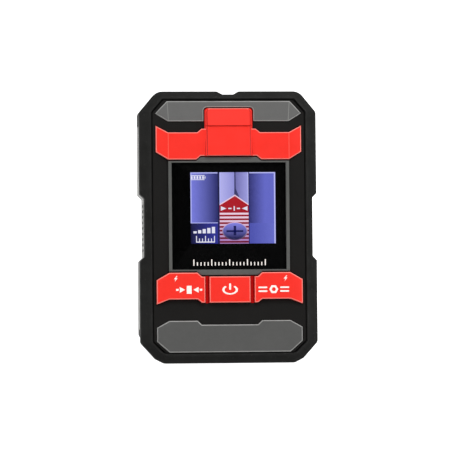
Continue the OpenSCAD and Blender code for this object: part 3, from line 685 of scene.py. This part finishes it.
# ---------------------------------------------------------------- front trim
TAB_X, TAB_TOP, TAB_FOLD, CREASE = 11.2, 55.4, 47.3, 0.35
TAB_LOW = 33.12
TAB_SIDE = 1.25  # width of the tab's sloped sides
TAB_GAP = 0.45  # round the tab, in the upper panel's slot
UPPER_TOP, UPPER_TIP, UPPER_LOW = 58.7, 53.0, 49.3
WING_TOP, WING_LOW = 44.2, 31.35
KEY_TOP, KEY_FOOT = -21.2, -33.7
LOWER_TOP, LOWER_LOW = -43.5, -58.4
BEZEL_TOP, BEZEL_LOW = 30.9, -20.7
CREST = mirrored([
    (STEP_X - 2.4, 45.9), (STEP_X - 0.4, WING_TOP), (FOLD_X, WING_TOP), (TRIM_X, 47.4),
    (TRIM_X, 34.9), (FOLD_X, WING_LOW), (STEP_X, WING_LOW), (STEP_X - 2, 33)])
KEYS = [
    (STEP_X - 2, -23.05), (STEP_X, KEY_TOP), (FOLD_X, KEY_TOP), (TRIM_X, -24.6),
    (TRIM_X, -36), (FOLD_X, KEY_FOOT), (STEP_X, KEY_FOOT), (STEP_X - 2, -35.3)]
LOWER = mirrored([
    (STEP_X - 2, -45.4), (STEP_X, LOWER_TOP), (FOLD_X, LOWER_TOP), (TRIM_X, -46.7),
    (TRIM_X, -53.3), (FOLD_X + 0.3, LOWER_LOW)])
BEZEL = mirrored([
    (STEP_X - 1.8, 32.6), (STEP_X + 0.1, BEZEL_TOP), (FOLD_X + 0.1, BEZEL_TOP),
    (FOLD_X + 0.1, BEZEL_LOW), (STEP_X + 0.3, BEZEL_LOW), (STEP_X - 1.7, -22.5)])
SIDE_FOLDS = (FOLD_X, -FOLD_X)

# The upper panel, with the tab's slot cut out of its middle.
slot_half, slot_top = TAB_X + TAB_GAP, TAB_TOP + TAB_GAP
upper_cut = rounded(
    [(FOLD_X + 0.5, UPPER_TOP, 0), (TRIM_X + 0.1, UPPER_TIP, 0), (FOLD_X, UPPER_LOW, 0),
     (slot_half, UPPER_LOW, 0), (slot_half, slot_top, 1.6), (-slot_half, slot_top, 1.6),
     (-slot_half, UPPER_LOW, 0), (-FOLD_X, UPPER_LOW, 0), (-TRIM_X - 0.1, UPPER_TIP, 0),
     (-FOLD_X - 0.5, UPPER_TOP, 0)])
# The trim panels and wings carry painted highlights on their bevels and folds.
plate("upper_trim_panel", upper_cut, SEAT_Z, fall(PANEL_Z), "panel", bevel=0.4,
      folds=SIDE_FOLDS, replaces=("upper_panel",), slot="grey_trim", rim="panel_rim")
# The lower panel is painted darker, as shade.
plate("lower_trim_panel", inset(LOWER, 0.08), SEAT_Z, fall(PANEL_Z), "panel_shaded", bevel=0.45,
      folds=SIDE_FOLDS, replaces=("lower_panel",), slot="grey_trim", rim="panel_rim")
plate("crest_wings", inset(CREST, 0.1), SEAT_Z, fall(WING_Z), "red", bevel=0.45,
      folds=SIDE_FOLDS, replaces=("red_crest",), slot="red_plastic", rim="red_rim")


def fold_highlight_lines(name, x0, y0, x1, y1, z, finish, slot):
    """A thin line painted lighter along the fold at both ends of a panel, a painted highlight, from
    (x0, y0) to (x1, y1).
    """
    half = 0.17
    line = [(x0 - half, y0), (x0 + half, y0), (x1 + half, y1), (x1 - half, y1)]
    prism(name, [line, [(-x, y) for x, y in line]], z - 0.03, z + 0.015, finish, slot=slot)


fold_highlight_lines("upper_panel_fold_highlights", FOLD_X + 0.3, UPPER_TOP - 0.5, FOLD_X - 0.2, UPPER_LOW + 0.5,
           PANEL_Z, "panel_fold", "grey_trim")
fold_highlight_lines("wing_fold_highlights", FOLD_X, WING_TOP - 0.5, FOLD_X, WING_LOW + 0.55, WING_Z, "red_fold",
           "red_plastic")


def build_tab():
    """The crest's raised middle: flat below, falling to the notch above, with sloped sides; painted
    shade on the sides and crease, a painted highlight on the end slopes.
    """
    ramp = (CREST_Z - WING_Z) / (TAB_TOP - TAB_FOLD)

    def top(x, y):
        return CREST_Z - max(0.0, y - TAB_FOLD) * ramp

    bm = bmesh.new()
    rows = []
    # How far each ring stands in from the tab's outline, and how far it lies below its top.
    for out, drop in ((0.0, None), (0.0, 1.25), (0.1, 1.12), (0.4, 0.79),
                      (TAB_SIDE - 0.35, 0.23), (TAB_SIDE + 0.1, 0.0)):
        low_y, high_y = TAB_LOW + out * 0.22, TAB_TOP - out * 0.32
        loop = rounded([(TAB_X - out, low_y, 0.01), (TAB_X - out, high_y, 1.5),
                        (-TAB_X + out, high_y, 1.5), (-TAB_X + out, low_y, 0.01)])
        rows.append([(x, y, SEAT_Z if drop is None else top(x, y) - drop) for x, y in loop])
    rings = [[bm.verts.new(p) for p in row] for row in rows]
    for level, (a, b) in enumerate(zip(rings, rings[1:])):
        for i in range(len(a)):
            face = bm.faces.new((a[i - 1], a[i], b[i], b[i - 1]))
            sideways = abs(a[i].co.x + a[i - 1].co.x) > 2 * TAB_X - 3
            # Bands on the sloped sides take painted shade, and the slopes at the ends a painted
            # highlight.
            if level in (2, 4) and sideways:
                face.material_index = 1
            elif level and not sideways:
                face.material_index = 2
    bm.faces.new(rings[-1])
    bm.faces.new(rings[0][::-1])
    for cut_y in (TAB_FOLD, TAB_FOLD - CREASE):
        bmesh.ops.bisect_plane(bm, geom=bm.verts[:] + bm.edges[:] + bm.faces[:], dist=1e-5,
                               plane_co=(0, cut_y, 0), plane_no=(0, 1, 0))
    # A narrow band at the crease is painted as shade.
    for face in bm.faces:
        middle = face.calc_center_median()
        if TAB_FOLD - CREASE < middle.y < TAB_FOLD and middle.z > WING_Z:
            face.material_index = 1
    for v in bm.verts:
        if abs(v.co.y - TAB_FOLD) < 1e-4 and abs(v.co.x) < TAB_X - TAB_SIDE and v.co.z > WING_Z:
            v.co.z = CREST_Z
    bmesh.ops.scale(bm, vec=(MM, MM, MM), verts=bm.verts)
    tab = finish_piece(link("crest_tab", bm), "red", slot="red_plastic", sharp=6.0)
    # Material 1 is painted shade, material 2 a painted highlight.
    tab.data.materials.append(mats["red_painted_shade"])
    tab.data.materials.append(mats["red_rim"])


build_tab()

# ---------------------------------------------------------------- bezel, window and picture
(lens_x0, lens_y0, lens_low), (lens_x1, lens_y1, lens_top) = LENS_LOW, LENS_HIGH
plate("window_bezel", inset(BEZEL, 0.08), SEAT_Z, BEZEL_Z, "bezel", bevel=0.22, segments=2,
      holes=(rect(lens_x0 - 0.1, lens_x1 + 0.1, lens_y0 - 0.1, lens_y1 + 0.1),),
      replaces=("display_bezel",), slot="bezel_grey")
corner = [(lens_x0 + 0.03, lens_y0 + 0.03, 0.5), (lens_x1 - 0.03, lens_y0 + 0.03, 0.5),
          (lens_x1 - 0.03, lens_y1 - 0.03, 0.5), (lens_x0 + 0.03, lens_y1 - 0.03, 0.5)]
plate("window_pane", rounded(corner), lens_low, lens_top, "window", bevel=0.16, segments=3,
      replaces=("display_lens",), slot="clear_window")

# The lit picture: the window in the mask, the post between PX0 and PX1, its seam and horizon.
VX0, VX1, VY0, VY1 = -17.9, 21.9, -7.75, 25.55
PX0, PX1, SEAM, HORIZON = -4.25, 9.3, 2.95, 1.8
ARROW_X, ARROW_TIP, ARROW_SHOULDER = SEAM, 14.5, 10.1
STRIPE_TOP, STRIPE_W, STRIPE_PITCH, STRIPES = 6.65, 0.9, 1.75, 9
SCREW_X, SCREW_Y = 2.8, -1.95
EDGE_LINE = 0.55  # the pale line along the picture's edges
UNDER = 0.3  # how far the picture goes in under the mask
LAYER, LAYER_T = 0.03, 0.02
z0 = LCD_TOP + 0.02


def lit(name, shapes, level, finish, **kw):
    """Flat lit shapes; a higher level covers a lower one."""
    z = z0 + LAYER * level
    return prism(name, shapes, z, z + LAYER_T, finish, slot="lcd_glass", **kw)


def tone_of(name, first, second, across, axis="X", **kw):
    """A lit colour that runs from first to second between the two places across, in mm."""
    mats[name] = glow("picture_" + name, srgb(*first), srgb(*second), across, axis, **kw)


tone_of("sky_left", (126, 131, 230), (40, 43, 108), (-17.5, -5.4))
tone_of("sky_right", (40, 42, 108), (102, 107, 203), (9.6, 17))
tone_of("floor_left", (6, 6, 40), (44, 48, 146), (-18, -7))
tone_of("floor_right", (76, 82, 176), (106, 112, 206), (10, 21))
tone_of("post_left", (188, 187, 246), (152, 152, 222), (-4, 2.4))
tone_of("post_right", (116, 114, 178), (164, 164, 230), (3.4, 9))
tone_of("shadow", (22, 22, 66), (30, 30, 84), (-5, 10))
tone_of("seam", (48, 48, 92), (70, 70, 118), (2.6, 4.6))
tone_of("edge_light", (186, 190, 255), (196, 198, 255), (-18, 22), ripple=0.0)
tone_of("arrow", (110, 4, 30), (178, 14, 20), (-4, 10), "Y")
tone_of("stripe", (178, 130, 196), (246, 214, 232), (-6, 5), "Y")
tone_of("screw", (16, 12, 70), (134, 134, 232), (-5.0, 1.8), "Y")
tone_of("screw_rim", (16, 12, 56), (226, 190, 226), (-5.6, 2), "Y")
tone_of("cross", (10, 12, 72), (14, 18, 88), (-6, 1), "Y")
tone_of("words", (240, 240, 252), (232, 232, 248), (-18, 22), ripple=0.0)

low, top, left_x, right_x = VY0 - UNDER, VY1 + UNDER, VX0 - UNDER, VX1 + UNDER
lit("picture_left", [rect(left_x, PX0, HORIZON, top)], 0, "sky_left", replaces=("lcd_panel",))
lit("picture_right", [rect(PX1, right_x, HORIZON, top)], 0, "sky_right")
lit("picture_low_left", [rect(left_x, PX0, low, HORIZON)], 0, "floor_left")
lit("picture_low_right", [rect(PX1, right_x, low, HORIZON)], 0, "floor_right")
lit("picture_post_left", [rect(PX0, SEAM, low, top)], 0, "post_left")
lit("picture_post_right", [rect(SEAM, PX1, low, top)], 0, "post_right")
lit("picture_post_shadow", [rect(PX0 - 0.85, PX0 - 0.15, low, top),
                            rect(PX1 + 0.05, PX1 + 0.4, low, top)], 1, "shadow")
lit("picture_edge_light", [
    rect(VX0, VX0 + EDGE_LINE, HORIZON, top), rect(VX1 - EDGE_LINE - 0.05, VX1, low, top),
    rect(VX0 + EDGE_LINE, PX0 - 0.9, VY1 - 0.5, top),
    rect(PX1 + 0.45, VX1 - EDGE_LINE - 0.05, VY1 - 0.5, top),
    rect(VX0 + EDGE_LINE, PX0 - 0.9, HORIZON, HORIZON + 0.35),
    rect(PX0, PX0 + 0.4, 10, top), rect(PX1 - 0.4, PX1, 10, top)], 1, "edge_light")
lit("picture_seam", [
    [(SEAM - 0.2, top), (SEAM - 0.25, 18), (SEAM - 0.35, 14.4), (SEAM + 1.3, 13.4),
     (SEAM + 2.0, 14.4), (SEAM + 1.1, 16.2), (SEAM + 0.45, 18), (SEAM + 0.35, top)]], 1, "seam")
edge = 0.6
lit("picture_arrow_edge", [
    [(PX0, ARROW_SHOULDER - 0.5), (PX1, ARROW_SHOULDER - 0.5), (PX1, ARROW_SHOULDER + edge),
     (ARROW_X, ARROW_TIP + edge), (PX0, ARROW_SHOULDER + edge)]], 2, "stripe")
lit("picture_arrow", [
    [(PX0, low), (PX1, low), (PX1, ARROW_SHOULDER), (ARROW_X, ARROW_TIP),
     (PX0, ARROW_SHOULDER)]], 3, "arrow")
stripe_tops = [STRIPE_TOP - STRIPE_PITCH * i for i in range(STRIPES)]
lit("picture_stripes", [rect(PX0, PX1, y - STRIPE_W, y) for y in stripe_tops], 4, "stripe")
lit("picture_screw_rim", [disc(SCREW_X, SCREW_Y, 5.95, 4.15)], 5, "screw_rim")
lit("picture_screw", [disc(SCREW_X, SCREW_Y + 0.1, 5.5, 3.75)], 6, "screw")
lit("picture_cross", [
    rect(SCREW_X - 3.95, SCREW_X + 3.95, SCREW_Y - 0.45, SCREW_Y + 0.45),
    rect(SCREW_X - 0.6, SCREW_X + 0.6, SCREW_Y - 1.9, SCREW_Y + 2.5)], 7, "cross")

# Plain marks: arrowheads that meet at the centre, a level gauge and a depth scale.
lit("picture_centre_mark", [
    [(-3.7, 7.6), (-1.1, 8.65), (-3.7, 9.7)], [(8.8, 7.6), (6.2, 8.65), (8.8, 9.7)],
    rect(-0.2, 1.3, 8.35, 8.95), rect(3.8, 5.3, 8.35, 8.95), rect(2.3, 2.85, 7.6, 9.7)],
    7, "words")
lit("picture_level_gauge", [
    rect(-16.6 + 2.15 * i, -15.1 + 2.15 * i, -2.9, -1.9 + 0.5 * i) for i in range(5)], 7, "words")
lit("picture_depth_scale", [rect(-15.4, -6.6, -7.2, -6.7)] + [
    rect(-15.4 + 1.4 * i, -15.0 + 1.4 * i, -6.7, -5.3 + 1.2 * (i % 3 == 0)) for i in range(7)],
    7, "words")
lit("picture_battery", [rect(-17.6, -11.2, 24.0, 24.3), rect(-17.6, -11.2, 22.0, 22.3)] + [
    rect(-17.6 + 1.32 * i, -16.8 + 1.32 * i, 22.5, 23.8) for i in range(5)] + [
    rect(-11.2, -10.8, 22.6, 23.7)], 7, "words")

# A plain scale printed on the window, with longer marks at every fifth.
SCALE_X, SCALE_Y, SCALE_PITCH, SCALE_MARKS, MARK_HALF = -16.7, -18.0, 1.67, 21, 0.24
scale_marks = []
for i in range(SCALE_MARKS):
    mark_at = SCALE_X + SCALE_PITCH * i
    mark_top = -15.1 if i % 5 == 0 else -16.4
    scale_marks.append(rect(mark_at - MARK_HALF, mark_at + MARK_HALF, SCALE_Y, mark_top))
prism("window_scale", scale_marks, lens_top + 0.002, lens_top + 0.012, "white_print",
      slot="clear_window")

# ---------------------------------------------------------------- keys
SIDE_KEY_X, POWER_KEY_X = 11.5, 9.6  # inner edge of the side keys, half width of the middle key
INNER_TOP, INNER_FOOT = KEYS[0][1], KEYS[-1][1]
side_key = [(SIDE_KEY_X, INNER_FOOT), (SIDE_KEY_X, INNER_TOP)] + KEYS


def key_shape(side):
    """A key's outline; side is -1, 0 or 1 for left, middle or right."""
    if side == 0:
        return rect(-POWER_KEY_X, POWER_KEY_X, INNER_FOOT, INNER_TOP)
    return [(p[0] * side, p[1]) for p in side_key]


for key_name, side in (("stud_key", -1), ("power_key", 0), ("metal_key", 1)):
    shape = inset(key_shape(side), 0.02)
    # Each key's bevelled edge takes the red painted highlight.
    plate(key_name + "_cap", shape, KEY_LOW, fall(KEY_Z), "red", bevel=0.5, segments=2,
          folds=SIDE_FOLDS if side else (), body=key_name, replaces=(key_name,),
          slot="red_plastic", rim="red_rim")

ink, INK_T = KEY_Z + 0.012, 0.02
MARK_Y, BOLT_Y, POWER_Y = -29.2, -24.1, -29.3
STUD_MARK = [rect(-1.15, 1.15, -1.85, 1.85)] + [shape for k in (-1, 1) for shape in (
    [(1.9 * k, 0), (4.4 * k, 1.35), (4.4 * k, -1.35)],
    rect(4.9 * k, 6.1 * k, -0.45, 0.45))]
METAL_MARK = [arc_band(0, 0, 1.0, 2.1, 0, 359.9, n=6)] + [
    rounded([(3.0 * k, low, 0.32), (7.2 * k, low, 0.32), (7.2 * k, low + 0.75, 0.32),
             (3.0 * k, low + 0.75, 0.32)]) for k in (-1, 1) for low in (-1.25, 0.5)]
for key_name, mark_x, mark in (("stud_key", -19.1, STUD_MARK), ("metal_key", 20.4, METAL_MARK)):
    prism(key_name + "_mark", [[(mark_x + x, MARK_Y + y) for x, y in shape] for shape in mark],
          ink, ink + INK_T, "white_print", body=key_name, slot="red_plastic")
BOLT = [(0.35, 1.35), (-0.85, -0.15), (-0.1, -0.15), (-0.45, -1.35), (0.85, 0.3), (0.1, 0.3),
        (0.75, 1.35)]
for key_name, bolt_x in (("stud_key", -25.3), ("metal_key", 26.0)):
    prism(key_name + "_bolt", [[(bolt_x + x, BOLT_Y + y) for x, y in BOLT]], ink, ink + INK_T,
          "white_print", body=key_name, slot="red_plastic")
# The power ring is wider than it is high.
RING_IN, RING_OUT, RING_FLAT = 2.6, 3.65, 0.62
ring = [(x, POWER_Y + RING_FLAT * y) for x, y in arc_band(0, 0, RING_IN, RING_OUT, 128, 412)]
prism("power_key_symbol", [ring, rect(-0.45, 0.45, POWER_Y, POWER_Y + 2.9)], ink, ink + INK_T,
      "white_print", body="power_key", slot="red_plastic")

# ---------------------------------------------------------------- camera, floor and light
cam = bpy.data.cameras.new("camera")
camera = bpy.data.objects.new("camera", cam)
bpy.context.scene.collection.objects.link(camera)
bpy.context.scene.camera = camera
IMAGE_W = 455
distance, pixel = 1.5, 0.4660 * MM
lean, dip, roll = math.radians(5.2), math.radians(1.9), math.radians(-0.5)
target = Vector((-0.8 * MM, -0.28 * MM, FACE_Z * MM))
back = Vector((-math.tan(lean), -math.tan(dip), 1)).normalized()
right = Vector((0, 1, 0)).cross(back).normalized()
up = back.cross(right)
right, up = (right * math.cos(roll) + up * math.sin(roll),
             up * math.cos(roll) - right * math.sin(roll))
spin = Matrix((right, up, back)).transposed().to_4x4()
camera.matrix_world = Matrix.Translation(target + back * distance) @ spin
cam.sensor_width = 36.0
cam.lens = cam.sensor_width * distance / (pixel * IMAGE_W)
cam.clip_start, cam.clip_end = 0.01, 50

floor_mesh = bpy.data.meshes.new("floor")
FLOOR_HALF, FLOOR_Z = 6, -5e-5
floor_corners = [(x, y, FLOOR_Z) for x, y in rect(-FLOOR_HALF, FLOOR_HALF, -FLOOR_HALF, FLOOR_HALF)]
floor_mesh.from_pydata(floor_corners, [], [(0, 1, 2, 3)])
floor = bpy.data.objects.new("floor", floor_mesh)
bpy.context.scene.collection.objects.link(floor)
fg = Graph("floor_white")
shade = fg.add("ShaderNodeBsdfPrincipled")
shade.inputs["Base Color"].default_value = (0.8, 0.8, 0.8, 1)
shade.inputs["Roughness"].default_value = 0.9
shade.inputs["Specular IOR Level"].default_value = 0.0
shade.inputs["Emission Color"].default_value = (1, 1, 1, 1)
shade.inputs["Emission Strength"].default_value = 0.9
one_sided = fg.add("ShaderNodeMixShader")
fg.join(fg.add("ShaderNodeNewGeometry").outputs["Backfacing"], one_sided.inputs[0])
fg.join(shade.outputs[0], one_sided.inputs[1])
fg.join(fg.add("ShaderNodeBsdfTransparent").outputs[0], one_sided.inputs[2])
fg.join(one_sided.outputs[0], fg.out.inputs["Surface"])
floor_mesh.materials.append(fg.mat)


def softbox(name, place, size, power):
    """A rectangular lamp aimed at the body."""
    lamp = bpy.data.lights.new(name, "AREA")
    lamp.shape = "RECTANGLE"
    lamp.size, lamp.size_y = size
    lamp.energy = power
    obj = bpy.data.objects.new(name, lamp)
    obj.location = place
    toward = Vector((0, 0, 0.01)) - Vector(place)
    obj.rotation_euler = toward.to_track_quat("-Z", "Y").to_euler()
    bpy.context.scene.collection.objects.link(obj)


softbox("top_light", (0.15, 1.15, 1.05), (1.2, 0.6), 15)
softbox("right_light", (1.15, 0.1, 0.9), (0.6, 1.2), 6.5)
softbox("left_light", (-1.15, 0.1, 0.9), (0.6, 1.2), 5.5)
softbox("low_light", (0.0, -1.15, 1.0), (1.2, 0.6), 0.8)

world = bpy.data.worlds.new("studio")
bpy.context.scene.world = world
world.use_nodes = True
wt = world.node_tree
wt.nodes.clear()
w_out = wt.nodes.new("ShaderNodeOutputWorld")
w_bg = wt.nodes.new("ShaderNodeBackground")
w_coord = wt.nodes.new("ShaderNodeTexCoord")
w_split = wt.nodes.new("ShaderNodeSeparateXYZ")
w_ramp = wt.nodes.new("ShaderNodeMapRange")
w_ramp.inputs[1].default_value, w_ramp.inputs[2].default_value = 0.55, 0.85
w_ramp.inputs[3].default_value, w_ramp.inputs[4].default_value = 0.85, 0.0
wt.links.new(w_coord.outputs["Generated"], w_split.inputs[0])
wt.links.new(w_split.outputs["Z"], w_ramp.inputs["Value"])
wt.links.new(w_ramp.outputs["Result"], w_bg.inputs["Strength"])
w_bg.inputs["Color"].default_value = (1, 1, 1, 1)
wt.links.new(w_bg.outputs[0], w_out.inputs["Surface"])
bpy.context.scene.view_settings.view_transform = "Standard"
